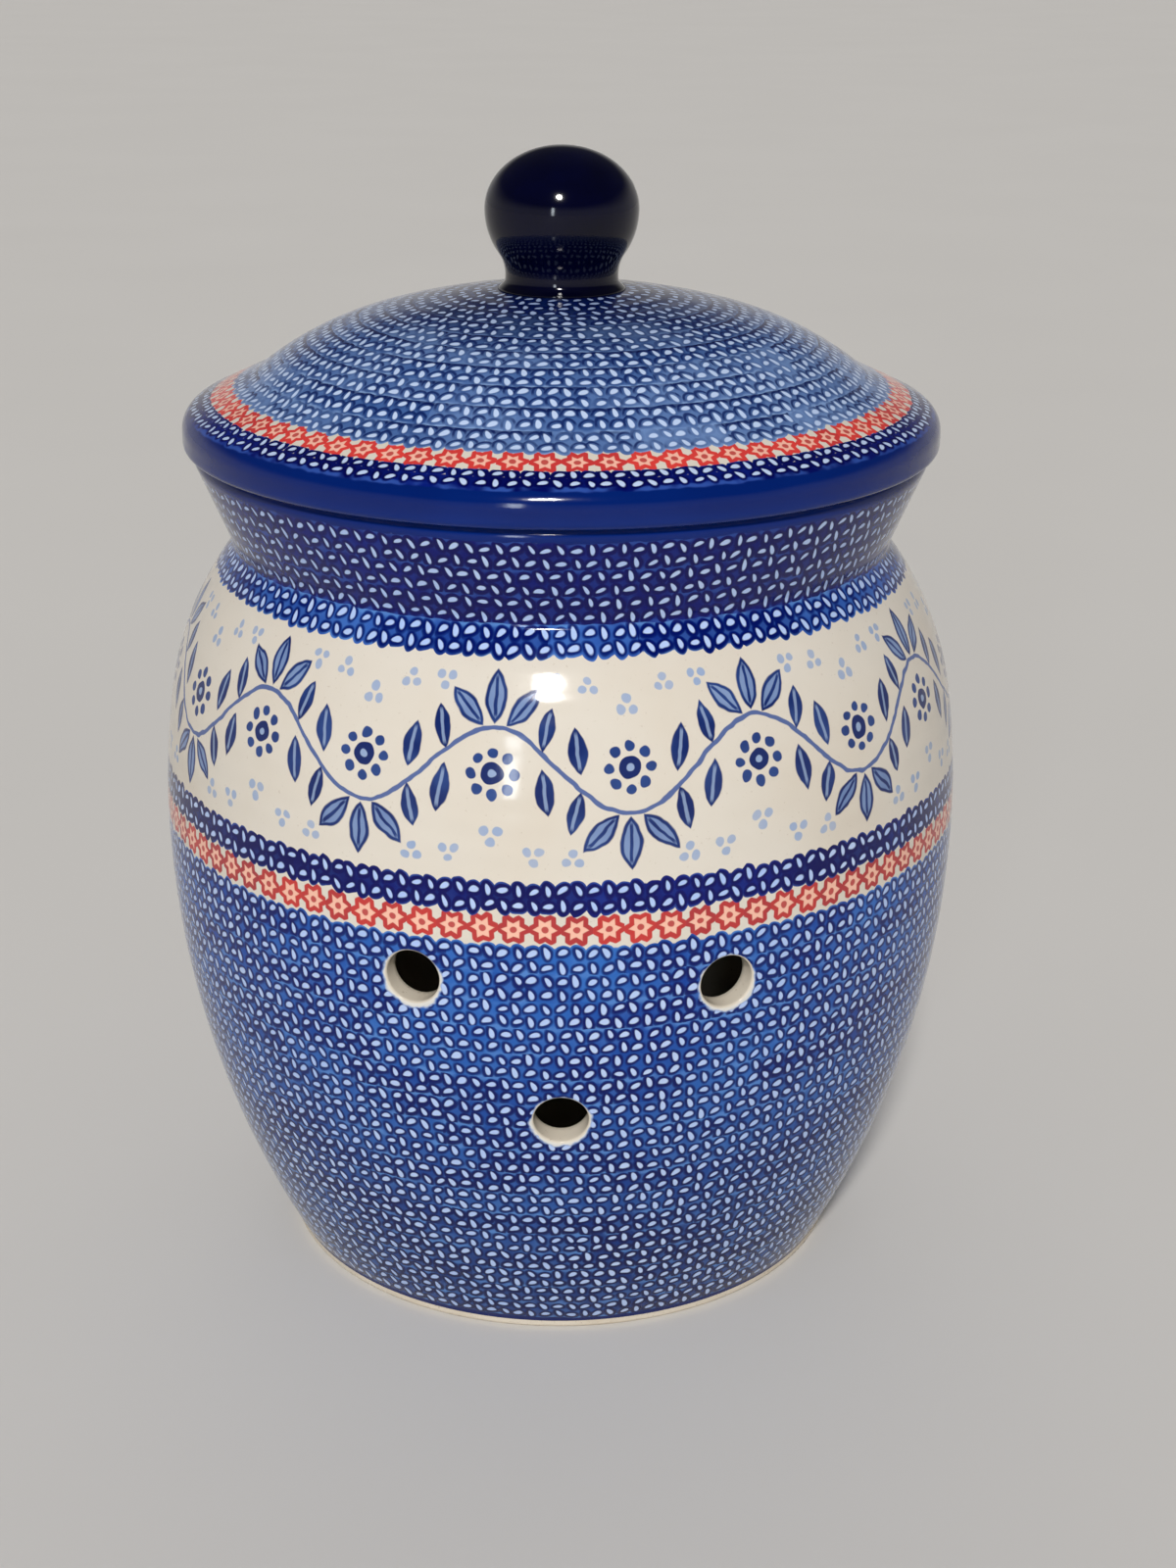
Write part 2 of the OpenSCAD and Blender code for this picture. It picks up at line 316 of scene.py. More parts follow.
OPERATIONS = {
    "__add__": "ADD", "__radd__": "ADD", "__sub__": "SUBTRACT", "__mul__": "MULTIPLY", "__rmul__": "MULTIPLY",
    "__truediv__": "DIVIDE", "__gt__": "GREATER_THAN", "__lt__": "LESS_THAN", "__abs__": "ABSOLUTE",
    "floor": "FLOOR", "wrap": "FLOORED_MODULO", "least": "MINIMUM", "most": "MAXIMUM", "root": "SQRT",
    "sin": "SINE", "cos": "COSINE", "atan2": "ARCTAN2"}
for method, operation in OPERATIONS.items():
    setattr(Signal, method, math_method(operation))


class Net:
    """The node tree of a new material or world."""

    SHINE = 0.3  # specular level of glaze, clay and floor

    def __init__(self, name, kind="materials"):
        self.owner = getattr(bpy.data, kind).new(name)
        self.owner.use_nodes = True
        self.tree = self.owner.node_tree

    def feed(self, node, inputs):
        for key, value in inputs.items():
            if isinstance(value, Signal):
                self.tree.links.new(value.socket, node.inputs[key])
            else:
                node.inputs[key].default_value = value

    def node(self, kind, inputs, output=0, **settings):
        """Adds a node and gives one of its outputs."""
        node = self.tree.nodes.new("ShaderNode" + kind)
        for key, value in settings.items():
            setattr(node, key, value)
        self.feed(node, inputs)
        return Signal(self, node.outputs[output])

    def math(self, operation, *values):
        return self.node("Math", dict(enumerate(values)), operation=operation)

    def pattern(self):
        """Turns around the axis, and millimetres along the outline."""
        u = self.node("SeparateXYZ", {0: self.node("UVMap", {}, uv_map="pattern")})
        return u, u.other(1) * V_UNIT

    def noise(self, scale, detail=2.0):
        """Soft noise in the piece's own space, about 0.5 in the middle. The scale is in waves per metre."""
        place = self.node("TexCoord", {}, "Object")
        return self.node("TexNoise", {"Vector": place, "Scale": scale, "Detail": detail})

    def stray(self, scale, size, detail=2.0):
        """Noise about 0."""
        return (self.noise(scale, detail) - 0.5) * size

    def finish(self, colour, roughness, height=None, distance=0.0005):
        """The material, with a bump of height times distance in metres."""
        inputs = {"Base Color": colour, "Specular IOR Level": self.SHINE, "Roughness": roughness}
        if height is not None:
            inputs["Normal"] = self.node("Bump", {"Distance": distance, "Height": height})
        self.feed(self.tree.nodes["Principled BSDF"], inputs)
        return self.owner


def smooth(value, start, stop):
    """0 at start, 1 at stop, and smooth between."""
    inputs = {"Value": value, "From Min": start, "From Max": stop}
    return value.net.node("MapRange", inputs, "Result", interpolation_type="SMOOTHSTEP")


def mix(share, first, second):
    """The first colour where share is 0, the second where it is 1."""
    return share.net.node("Mix", {0: share, 6: first, 7: second}, 2, data_type="RGBA")


def length(x, y):
    return (x * x + y * y).root()


def chance(x, y, z=0.0):
    """Four even random values for a cell."""
    cell = x.net.node("CombineXYZ", {0: x, 1: y, 2: z})
    value = x.net.node("TexWhiteNoise", {"Vector": cell}, "Value", noise_dimensions="3D")
    red = x.net.node("SeparateColor", {0: value.other("Color")})
    return value, red, red.other(1), red.other(2)


def rgb(*levels):
    """A colour as a picture shows it, 0 to 255, as the light that it stands for."""
    return tuple(c / 255 / 12.92 if c <= 10 else ((c / 255 + 0.055) / 1.055) ** 2.4 for c in levels) + (1.0,)


# The two grains of a pair: place in it, lean in degrees, half length and half width in mm, and bend
GRAIN_PAIR = ((0.0, -68.0, 1.62, 0.90, 0.04), (1.0, 20.0, 1.54, 0.96, 0.05))
STRAY_X, STRAY_Y, STRAY_TURN = 0.9, 0.75, 0.5  # how far a grain strays, in mm and radians


def grains(x, y, count, strip, row_h, side, plump):
    """Two rows of stamped grains that lean in turn.

    x counts cells along the strip, y counts rows across it, and count is the cells in one turn. Gives the
    grains, the dark round them, their outline, and a brush stroke above (side 1) or below (side -1) each.
    """
    found = None
    for odd, lean_deg, half_length, half_width, bend in GRAIN_PAIR:
        px, py = x - (0.5 + odd), y - 0.5
        a, b = ((px + py) * 0.5 + 0.5).floor(), ((px - py) * 0.5 + 0.5).floor()
        i, j = a + b, a - b
        size, cx, cy, turn = chance((i + odd).wrap(count), j, strip)
        dx = (px - i) * CELL + (cx - 0.5) * STRAY_X
        dy = (py - j) * row_h + (cy - 0.5) * STRAY_Y
        angle = (turn - 0.5) * STRAY_TURN + radians(lean_deg)
        co, si = angle.cos(), angle.sin()
        p, q = dx * co + dy * si, dy * co - dx * si
        q = q + p * p * bend
        row = (j > -0.5) * (j < 1.5)
        half = size * 0.35 + half_length
        wide = (p * 0.10 + half_width).most(0.4) * (size * 0.2 + 0.9) * plump
        grain = smooth(length(p / half, q / wide), 1.18, 0.78) * row
        dark = smooth(length(p / (half + 1.3), q / 2.2), 1.10, 0.72) * row
        blob = smooth(length(p / (half + 1.75), q / 2.75), 1.04, 0.96) * row
        stroke = smooth(abs(length(p / (half + 1.1), q / 2.1) - 1.0), 0.34, 0.1) * row
        stroke = stroke * smooth((dy - dx * 0.4) * side, -1.4, 1.0)
        marks = (grain, dark, blob, stroke)
        found = [a.most(b) for a, b in zip(marks, found)] if found else marks
    return found


def stamped(u, rows, strip, around, seeds, row_h, side, plump=1.0):
    """Strips of stamps at a radius: the cell along the strip, the stamp's tone and the grains' marks."""
    shift_seed, grain_seed, tone_seed = seeds
    count = (around * (pi / CELL) + 0.5).floor() * 2.0
    shift = chance(strip, shift_seed)[0]
    x = u * count + shift * 8.0
    marks = grains(x, rows, count, strip + grain_seed, row_h, side, plump)
    return x, chance(((x + shift * 5.0) / 6.0).floor(), strip, tone_seed)[0], marks


def even_strips(at, y, start, count):
    """Equal strips from a start to the red band: a strip's number, fitted radius, and row across it."""
    pitch = (at.red - SCALLOP - start) / count
    k = ((y - start) / pitch).least(count - 0.001).floor()
    share = (k * pitch + (start + pitch / 2)) / at.red
    radius = (share * at.fit[0] + at.fit[1]) * share + at.fit[2]
    return k, radius, (y - start - k * pitch) * (2 / pitch)


def by_part(*parts):
    """Rows, strip and radius, each joined from the parts of a face. A part starts with its mask."""
    return [sum(part[0] * part[k] for part in parts) for k in (1, 2, 3)]


def strip_strength(tone, cloud):
    """How thickly the blue was stamped."""
    return smooth(tone * 0.3 + cloud, 0.40, 0.90)


def star_chain(ground, u, y, count, seed, point, colours, within=1.0):
    """A chain of six-pointed stars that touch, in two reds and the colours of heart and eye."""
    bright, dull, pale, dot = colours
    x = u * count
    cell = x.floor()
    tone, cx, cy, turn = chance(cell.wrap(count), seed)
    dx = (x - cell - 0.5) * STAR_PITCH + (cx - 0.5) * 0.5
    dy = y + (cy - 0.5) * 0.6
    rho = length(dx, dy)
    phi = dy.atan2(dx) + (turn - 0.5) * 0.22
    # The angle from the nearest point of the star, and the distance beyond its straight side
    sixth = pi / 3
    away = abs((phi / sixth + 0.5).wrap(1.0) - 0.5) * sixth
    beyond = (rho * away.cos() - point) * 0.51 + rho * away.sin() * 0.86
    ink = mix(smooth(beyond, 0.2, -0.2), mix(tone, bright, dull), pale)
    ink = mix(smooth(rho, 1.4, 1.0), ink, dot)
    return mix(smooth(beyond, 1.9, 1.5) * smooth(rho, 5.9, 5.4) * within, ground, ink)


def over_cream(free, blob):
    """Where a strip covers the cream: free is the distance within it, and its grains scallop the edge."""
    return smooth(free, 1.7, 2.4).most(blob * (free > -1.6))


# The frieze's colours, and its parts in one bend of the vine
INK, BLUE, WASH, PALE_BLUE = rgb(22, 40, 100), rgb(58, 88, 152), rgb(78, 108, 166), rgb(150, 170, 204)
CREAM, CREAM_WARM, CREAM_SPECK = rgb(224, 216, 203), rgb(216, 203, 184), rgb(168, 146, 118)
# Leaves: x, y, angle in degrees, half length and half width
SIDE_LEAVES = ((17.6, 13.6, 78.0, 7.2, 2.9), (17.0, -6.6, -82.0, 8.0, 3.2))
TIP_LEAF, FAN_LEAF = (0.0, 24.2, 90.0, 9.0, 3.8), (9.6, 20.6, 47.0, 8.4, 3.6)
# Dots: x, y, how many, the radius of the ring that they stand on and their own
UPPER_DOTS, LOWER_DOTS = (18.6, 29.0, 3, 2.3, 1.45), (13.5, -27.5, 3, 2.3, 1.45)
MIDDLE_DOTS, ROSETTE = (0.0, -21.0, 3, 2.5, 1.6), (0.0, -1.0, 8, 7.0, 1.75)


def cream_ground(cloud):
    return mix(smooth(cloud, 0.3, 0.8) * 0.5, CREAM, CREAM_WARM)


def leaf(x, y, cx, cy, angle, half, wide):
    """A pointed leaf: its mask, the part within its outline, and its middle vein."""
    co, si = polar(radians(angle)).tolist()
    dx, dy = x - cx, y - cy
    p, q = dx * (co / half) + dy * (si / half), abs(dy * co - dx * si)
    edge = q * (1 / wide) + p * p
    vein = smooth(q, 0.75, 0.35) * smooth(abs(p), 0.85, 0.6)
    return smooth(edge, 1.08, 0.9), smooth(edge, 0.72, 0.58), vein


def dots(x, y, cx, cy, count, ring, r):
    """Dots on a ring, and the distance from its middle."""
    dx, dy = x - cx, y - cy
    rho, step = length(dx, dy), 2 * pi / count
    phi = ((dy.atan2(dx) + QUARTER) / step + 0.5).wrap(1.0) * step - step / 2
    return smooth(length(rho * phi.cos() - ring, rho * phi.sin()), r + 0.22, r - 0.12), rho


def frieze(net, ground, u, y):
    """A running vine on cream: leaves and dot rosettes in the bends, pale dots between."""
    x = u * VINE_BENDS
    cell = x.floor()
    flip = cell.wrap(2.0) * 2.0 - 1.0
    tone = net.noise(70.0)
    ax = (x - cell - 0.5) * BEND_W + net.stray(110.0, 1.6)
    y = (y + net.stray(120.0, 1.6)) * flip
    mx = abs(ax)
    phase = ax * (pi / BEND_W)
    slope = phase.sin() * (BEND_H * pi / BEND_W)
    stem = smooth(abs(y - phase.cos() * BEND_H) / (slope * slope + 1.0).root(), 0.95, 0.6)
    upper, _ = dots(mx, y, *UPPER_DOTS)
    lower, _ = dots(mx, y, *LOWER_DOTS)
    middle, _ = dots(ax, y, *MIDDLE_DOTS)
    colour = mix(upper.most(lower).most(middle) * (tone * 0.5 + 0.6), ground, PALE_BLUE)
    colour = mix(stem * 0.92, colour, BLUE)
    leaf_ink = mix(smooth(tone, 0.35, 0.75) * 0.5, INK, BLUE)
    for sizes in SIDE_LEAVES:
        mask, _, vein = leaf(mx, y, *sizes)
        colour = mix(mask, colour, mix(vein * 0.75, leaf_ink, PALE_BLUE))
    for across, sizes in ((ax, TIP_LEAF), (mx, FAN_LEAF)):
        mask, within, vein = leaf(across, y, *sizes)
        colour = mix(mask, colour, leaf_ink)
        colour = mix(within * (1.0 - vein), colour, mix(tone, WASH, PALE_BLUE))
    petals, rho = dots(ax, y, *ROSETTE)
    colour = mix(petals, colour, mix(tone, INK, BLUE))
    colour = mix(smooth(rho, 3.9, 3.6), colour, INK)
    return mix(smooth(rho, 1.5, 1.15), colour, PALE_BLUE)


def wander(net, along, slow, fast):
    """The distance along the outline as a hand paints it, off by a slow drift and a tremble in mm."""
    return along + net.stray(9.0, slow) + net.stray(170.0, fast, 1.0)


def throwing(net, along):
    """The soft unevenness of a thrown and glazed wall."""
    drift = net.noise(16.0)
    rings = (along * 0.62 + drift * 7.0).sin()
    return rings * 0.10 + drift * 1.6 + net.noise(55.0) * 0.35 + net.noise(420.0, 1.0) * 0.03


def glazed(net, colour, along):
    """The gloss glaze over a painted face."""
    return net.finish(colour, net.noise(38.0, 3.0) * 0.09 + 0.06, throwing(net, along))


# The jar's blues. Pairs are the colours at the foot and at the red band
BODY_THIN, BODY_FULL = (rgb(38, 72, 136), rgb(44, 104, 188)), (rgb(12, 44, 110), rgb(12, 64, 156))
BODY_INK, BODY_GAP = (rgb(0, 8, 68), rgb(0, 15, 94)), rgb(92, 142, 210)
# COLLAR_NAVY is bluer and brighter than the band's navy: painted light that makes up for the lid's shade on
# the collar
NAVY_THIN, NAVY_FULL, COLLAR_NAVY = rgb(4, 26, 124), rgb(0, 3, 84), rgb(0, 18, 124)
NAVY_INK, NAVY_GAP = rgb(0, 2, 84), rgb(46, 82, 166)
SHOULDER_THIN, SHOULDER_FULL = rgb(54, 98, 180), rgb(12, 42, 130)
# Colours that clouds mix, the stars' four, and those of the foot's line and the vent holes' edges
JAR_GRAIN, JAR_COBALT = (rgb(154, 184, 240), rgb(204, 220, 248)), (rgb(0, 20, 90), rgb(0, 42, 124))
JAR_STAR = rgb(202, 62, 58), rgb(172, 58, 62), rgb(248, 192, 168), rgb(192, 82, 78)
FOOT_LINE, VENT_BLUE, VENT_PALE = rgb(16, 32, 92), rgb(150, 172, 214), rgb(222, 219, 212)
# Radii that the grains are counted at: under the frieze, on the shoulder, and on the collar's strips
BAND_AROUND, SHOULDER_AROUND, COLLAR_AROUND, COLLAR_WIDENS = 149.0, 125.0, 123.0, 4.6
BAND_ROW = 5.3  # height of a row of grains under the frieze


def jar_strips(at, u, y):
    """The jar's strips of grains: on the body, under the frieze, on the shoulder and on the collar."""
    band, above, collar = y > (at.red + at.navy) / 2, y > (at.frieze + at.shoulder) / 2, y > at.crease
    under_frieze, shoulder = band - above, above - collar
    k_body, r_body, rows_body = even_strips(at, y, at.body, BODY_STRIPS)
    rows_band = (y - (at.navy + at.frieze) / 2) / BAND_ROW + 1.0
    shoulder_start = at.shoulder + SCALLOP
    rows_shoulder = (y - shoulder_start) / ((at.crease - shoulder_start) / 2)
    t_collar = (y - at.crease) / ((at.rim - at.crease) / COLLAR_STRIPS)
    k_collar = t_collar.floor()
    rows, strip, around = by_part(
        (1.0 - band, rows_body, k_body, r_body),
        (under_frieze, rows_band, 30.0, BAND_AROUND),
        (shoulder, rows_shoulder, 40.0, SHOULDER_AROUND),
        (collar, (t_collar - k_collar) * 2.0, k_collar + 50.0, k_collar * COLLAR_WIDENS + COLLAR_AROUND))
    plump = 1.0 - collar * 0.2 - under_frieze * 0.12
    _, tone, marks = stamped(u, rows, strip, around, (7.0, 0.0, 3.0), CELL, -1.0, plump)
    return SimpleNamespace(rows=rows, tone=tone, marks=marks, band=band, collar=collar, shoulder=shoulder)


def vent_halo(net, at, u, along):
    """The distance from the nearest vent hole's middle, with the ragged edge of the wiped glaze."""
    ragged = net.stray(240.0, 3.2)
    nearest = None
    for turn, z in VENTS:
        dx, dy = (u - (0.5 + turn / 360)) * (2 * pi * at.r(z)), along - at.z(z)
        d = length(dx, dy) + dy * 0.06 + ragged
        nearest = d if nearest is None else nearest.least(d)
    return nearest


def jar_glaze(at):
    """The jar's outer face. at gives the distance of each band's edge along the outline."""
    net = Net("jar_glaze")
    u, along = net.pattern()
    y = wander(net, along, 2.2, 1.9)
    cloud, fleck = net.noise(22.0, 3.0), net.noise(95.0)
    on = jar_strips(at, u, y)
    grain, dark, blob, stroke = on.marks
    # The blues of the strips. Pale lines are left where two strips meet
    strength = strip_strength(on.tone, cloud)
    high = smooth(along, at.body, at.red)
    body = mix(strength, mix(high, *BODY_THIN), mix(high, *BODY_FULL))
    navy = mix(smooth(on.tone * 0.35 + cloud, 0.34, 0.70), NAVY_THIN, NAVY_FULL)
    # On the collar, which lies in the lid's shade, half the navy turns to the brighter COLLAR_NAVY: painted
    # light against that shade
    navy = mix(on.collar * 0.5, navy, COLLAR_NAVY)
    shoulder = mix(strength, SHOULDER_THIN, SHOULDER_FULL)
    ground = mix(on.band, body, mix(on.shoulder, navy, shoulder))
    on_navy = on.band - on.shoulder
    ink = mix(on_navy, mix(high, *BODY_INK), NAVY_INK)
    meeting = smooth(abs(on.rows - 1.0), 0.66, 0.9) * 0.55 + 0.2
    gap = (1.0 - smooth(dark, 0.0, 0.4)) * meeting
    colour = mix(gap * smooth(fleck, 0.36, 0.6), ground, mix(on_navy, BODY_GAP, NAVY_GAP))
    colour = mix(dark * (strength * 0.12 + 0.88), colour, ink)
    colour = mix(stroke * smooth(fleck * 0.7 + on.tone * 0.3, 0.4, 0.6) * 0.8, colour, ink)
    colour = mix(grain, colour, mix(cloud, *JAR_GRAIN))
    # The cream ground with the vine and the chain of stars, behind the grains' scalloped edges
    specks = smooth(net.noise(900.0, 1.0), 0.70, 0.80) * 0.25
    cream = mix(specks, cream_ground(cloud), CREAM_SPECK)
    cream = frieze(net, cream, u, y - (at.frieze + at.shoulder) / 2)
    within = (y < (at.navy + at.frieze) / 2) * (y > at.red - 3.0)
    cream = star_chain(cream, u, y - (at.red + at.navy) / 2, JAR_STARS, 11.0, JAR_STAR_R, JAR_STAR, within)
    free = ((at.red - y).most((y - at.navy).least(at.frieze - y))).most(y - at.shoulder)
    colour = mix(over_cream(free, blob), cream, colour)
    # Plain ring at the rim, the line over the foot, and the pale edge round each vent hole
    colour = mix(smooth(y, at.rim - 0.4, at.rim + 0.4), colour, mix(cloud, *JAR_COBALT))
    colour = mix(smooth(y, at.body + 0.3, at.body - 0.3), colour, FOOT_LINE)
    halo = vent_halo(net, at, u, along)
    wiped = mix(smooth(halo, VENT_R + 1.2, VENT_R + 0.5), VENT_BLUE, VENT_PALE)
    colour = mix(smooth(halo, VENT_R + 1.7, VENT_R + 0.8), colour, wiped)
    return glazed(net, colour, along)


# The lid's blues. Pairs are the colours at the crown and towards the red band; the crown's darker colours are
# partly painted shade on the dome's top, partly its thicker glaze
DOME_THIN, DOME_FULL = (rgb(11, 31, 84), rgb(108, 138, 188)), (rgb(2, 14, 60), rgb(62, 96, 156))
DOME_INK, DOME_GAP = (rgb(2, 12, 56), rgb(16, 46, 108)), (rgb(38, 64, 122), rgb(128, 158, 206))
DOME_GRAIN, BRIGHT_GRAIN = (rgb(130, 154, 206), rgb(184, 206, 242)), rgb(200, 216, 244)
DOME_STROKE, DOME_LINE = rgb(2, 22, 86), rgb(2, 16, 76)
EDGE_THIN, EDGE_FULL, EDGE_INK, EDGE_GAP = rgb(4, 26, 118), rgb(0, 6, 84), rgb(0, 2, 74), rgb(46, 78, 160)
LID_STAR = rgb(226, 66, 60), rgb(202, 58, 58), rgb(248, 188, 166), rgb(196, 82, 76)
LID_COBALT = rgb(0, 22, 90), rgb(0, 44, 128)
EDGE_AROUND, EDGE_ROW, DOME_ROW = 131.5, 4.5, 4.9  # radius and height of the grains' rows


def lid_strips(at, u, y):
    """The lid's strips of grains: those on the dome, and one outside the red band."""
    band = y > (at.red + at.navy) / 2
    dome = 1.0 - band
    k_dome, r_dome, rows_dome = even_strips(at, y, at.dome, DOME_STRIPS)
    rows, strip, around = by_part(
        (dome, 2.0 - rows_dome, k_dome, r_dome), (band, (at.rim - 0.9 - y) / EDGE_ROW, 30.0, EDGE_AROUND))
    x, tone, marks = stamped(u, rows, strip, around, (17.0, 70.0, 5.0), DOME_ROW, 1.0)
    return SimpleNamespace(x=x, rows=rows, tone=tone, marks=marks, band=band, dome=dome)


def lid_glaze(at):
    """The lid's upper face. Distances run outwards from the axis."""
    net = Net("lid_glaze")
    u, along = net.pattern()
    y = wander(net, along, 1.6, 1.6)
    cloud, fleck = net.noise(22.0, 3.0), net.noise(95.0)
    on = lid_strips(at, u, y)
    grain, dark, blob, stroke = on.marks
    # The blues of the strips, paler towards the red band and darker towards the crown, partly as painted
    # shade. Pale lines are left between the stamps
    strength = strip_strength(on.tone, cloud)
    # near runs from 0 at the crown to 1 towards the red band; the darkening it gives the crown is partly
    # painted shade, partly thicker glaze
    near = smooth(along, at.dome + 8.0, at.red * 0.72)
    dome = mix(strength, mix(near, *DOME_THIN), mix(near, *DOME_FULL))
    ground = mix(on.band, dome, mix(strength, EDGE_THIN, EDGE_FULL))
    ink = mix(on.band, mix(near, *DOME_INK), EDGE_INK)
    pale = mix(on.band, mix(near, *DOME_GAP), EDGE_GAP)
    pair = abs(((on.x + 0.5) / 2.0).wrap(1.0) - 0.5)
    between_pairs = smooth(pair, 0.42, 0.47) * on.dome
    painted = dark.most(smooth(abs(on.rows - 1.0), 0.96, 0.76) * (1.0 - between_pairs))
    colour = mix((1.0 - painted) * smooth(fleck, 0.36, 0.60), ground, pale)
    # Near the crown the dark round the grains, the lines between the strips and the grains are darker too:
    # partly painted shade
    colour = mix(dark * (strength * 0.3 + 0.45 + on.band * 0.25 - near * on.dome * 0.3), colour, ink)
    brushed = stroke * smooth(fleck * 0.7 + on.tone * 0.3, 0.3, 0.5) * on.dome
    colour = mix(brushed * 0.85, colour, DOME_STROKE)
    line = smooth(on.rows - fleck * 0.5, 1.40, 1.58) * smooth(fleck * 0.6 + on.tone * 0.5, 0.40, 0.58)
    colour = mix(line * on.dome * (1.0 - near * 0.3), colour, DOME_LINE)
    colour = mix(grain, colour, mix(cloud, mix(near, *DOME_GRAIN), BRIGHT_GRAIN))
    # The cream ground with the chain of stars, behind the grains' scalloped edges
    across = (at.red + at.navy) / 2 - 1.2 - y
    cream = star_chain(cream_ground(cloud), u, across, LID_STARS, 13.0, LID_STAR_R, LID_STAR)
    free = (at.red - y).most(y - at.navy)
    colour = mix(over_cream(free, blob), cream, colour)
    # The plain rolled rim, thinner and lighter where the glaze runs off its turn
    thin = smooth(along, at.turn, at.turn + RIM_RUN) * 0.35
    cobalt = mix(cloud * 0.6 + thin, *LID_COBALT)
    colour = mix(smooth(y, at.rim - 0.4, at.rim + 0.5), colour, cobalt)
    return glazed(net, colour, along)


KNOB_NAVY, KNOB_POOL = (rgb(1, 1, 12), rgb(2, 4, 40)), rgb(1, 1, 10)
POOL_START, POOL_STOP = 62.0, 70.0  # distances from the knob's top, where the glaze gathers at the waist


def knob_glaze():
    net = Net("knob_glaze")
    _, along = net.pattern()
    colour = mix(net.noise(60.0, 3.0), *KNOB_NAVY)
    colour = mix(smooth(along, POOL_START, POOL_STOP) * 0.7, colour, KNOB_POOL)
    return net.finish(colour, net.noise(90.0, 3.0) * 0.06 + 0.05, throwing(net, along), 0.0003)


INSIDE_CREAM, INSIDE_SPECK = (rgb(226, 218, 204), rgb(208, 196, 176)), rgb(150, 124, 94)


def inside_glaze():
    net = Net("inside_glaze")
    _, along = net.pattern()
    colour = mix(net.noise(30.0, 3.0), *INSIDE_CREAM)
    colour = mix(smooth(net.noise(700.0, 1.0), 0.68, 0.80) * 0.5, colour, INSIDE_SPECK)
    return net.finish(colour, net.noise(38.0, 3.0) * 0.12 + 0.08, throwing(net, along))


CLAY_TONES, CLAY_GRIT = (rgb(222, 213, 198), rgb(204, 190, 168)), rgb(142, 120, 94)


def bare_clay():
    net = Net("bare_clay")
    cloud, grit = net.noise(70.0, 4.0), net.noise(1500.0)
    colour = mix(smooth(grit, 0.6, 0.75) * 0.5, mix(cloud, *CLAY_TONES), CLAY_GRIT)
    return net.finish(colour, net.noise(200.0) * 0.2 + 0.62, grit * 0.6 + cloud, 0.0002)


# The jar
FACE_LEAD, FOOT_TURN = 4.0, 0.8  # length of the foot's edge on the baked map, and of its last part
# Columns of the baked map: right ends of the front and the back half turn, width, lower end and height
FRONT_END, BACK_END, COLUMN_WIDE, COLUMN_LOW, COLUMN_TALL = 0.496, 0.996, 0.492, 0.006, 0.860
MAP_EDGE = 0.004
# Rows of the baked map: the inside, the foot's underside, and the vent holes' bores
INSIDE_ROWS, UNDER_ROWS, BORE_ROW, BORE_TALL = (0.876, 0.956), (0.961, 0.975), 0.981, 0.016
BORE_LEFT, BORE_PITCH, BORE_WIDE, BORE_STEPS = 0.02, 0.3, 0.26, 5
BORE_INNER, INNER_STEP, INNER_EDGE = 0.7, 0.25, 0.8  # where the bore ends, and its softened inner edge
SEAT_OUT, SEAT_IN = 0.6, 0.5  # from the centres of the rim's rounded edges to the bare seat
# Radii of the rings on flat faces: in the hollow under the foot, on its stand, and on the floor
HOLLOW_RINGS, STAND_RINGS, FLOOR_RINGS = (0.0, 30.0, 60.0, 80.0), (98.0, 103.0), (75.0, 50.0, 25.0, 0.0)


def unevenness(inset, *waves):
    """How far a wall stands out of round in mm. A wave has a size, a count in a turn, a phase and a twist."""
    return lambda theta, z: sum(
        (size * sin(count * theta + phase + z * twist) for size, count, phase, twist in waves), -inset)


jar_wobble = unevenness(0.28, (0.10, 2, 0.6, 0), (0.06, 3, 2.1, 1 / 90), (0.05, 1, 0, -1 / 60))
lid_wobble = unevenness(0.26, (0.11, 2, 2.0, 0), (0.06, 3, 0.4, 0), (0.04, 1, 0, 1 / 40))
knob_wobble = unevenness(0.12, (0.05, 2, 1.0, 0), (0.04, 3, 0, 1 / 9))


def outside_map(u, v, middle):
    """Two columns of the baked map, each a half turn laid on its side: the front one, then the back one."""
    front = 0.25 <= middle < 0.75
    start = 0.25 if front else 0.75 if middle >= 0.75 else -0.25
    up = (v * V_UNIT + FACE_LEAD) / (jar_face.length + FACE_LEAD)
    end = FRONT_END if front else BACK_END
    return end - COLUMN_WIDE * up, COLUMN_LOW + COLUMN_TALL * (u - start) * 2


def row_map(rows, full):
    """A band of the baked map that holds a whole turn, with v from 0 to full across it."""
    low, high = rows
    return lambda u, v, middle: (MAP_EDGE + u * (1 - 2 * MAP_EDGE), low + (high - low) * v / full)


def between(first, second, t):
    """Places part of the way from one ring to another."""
    return [((1 - t) * a[0] + t * b[0], (1 - t) * a[1] + t * b[1]) for a, b in zip(first, second)]


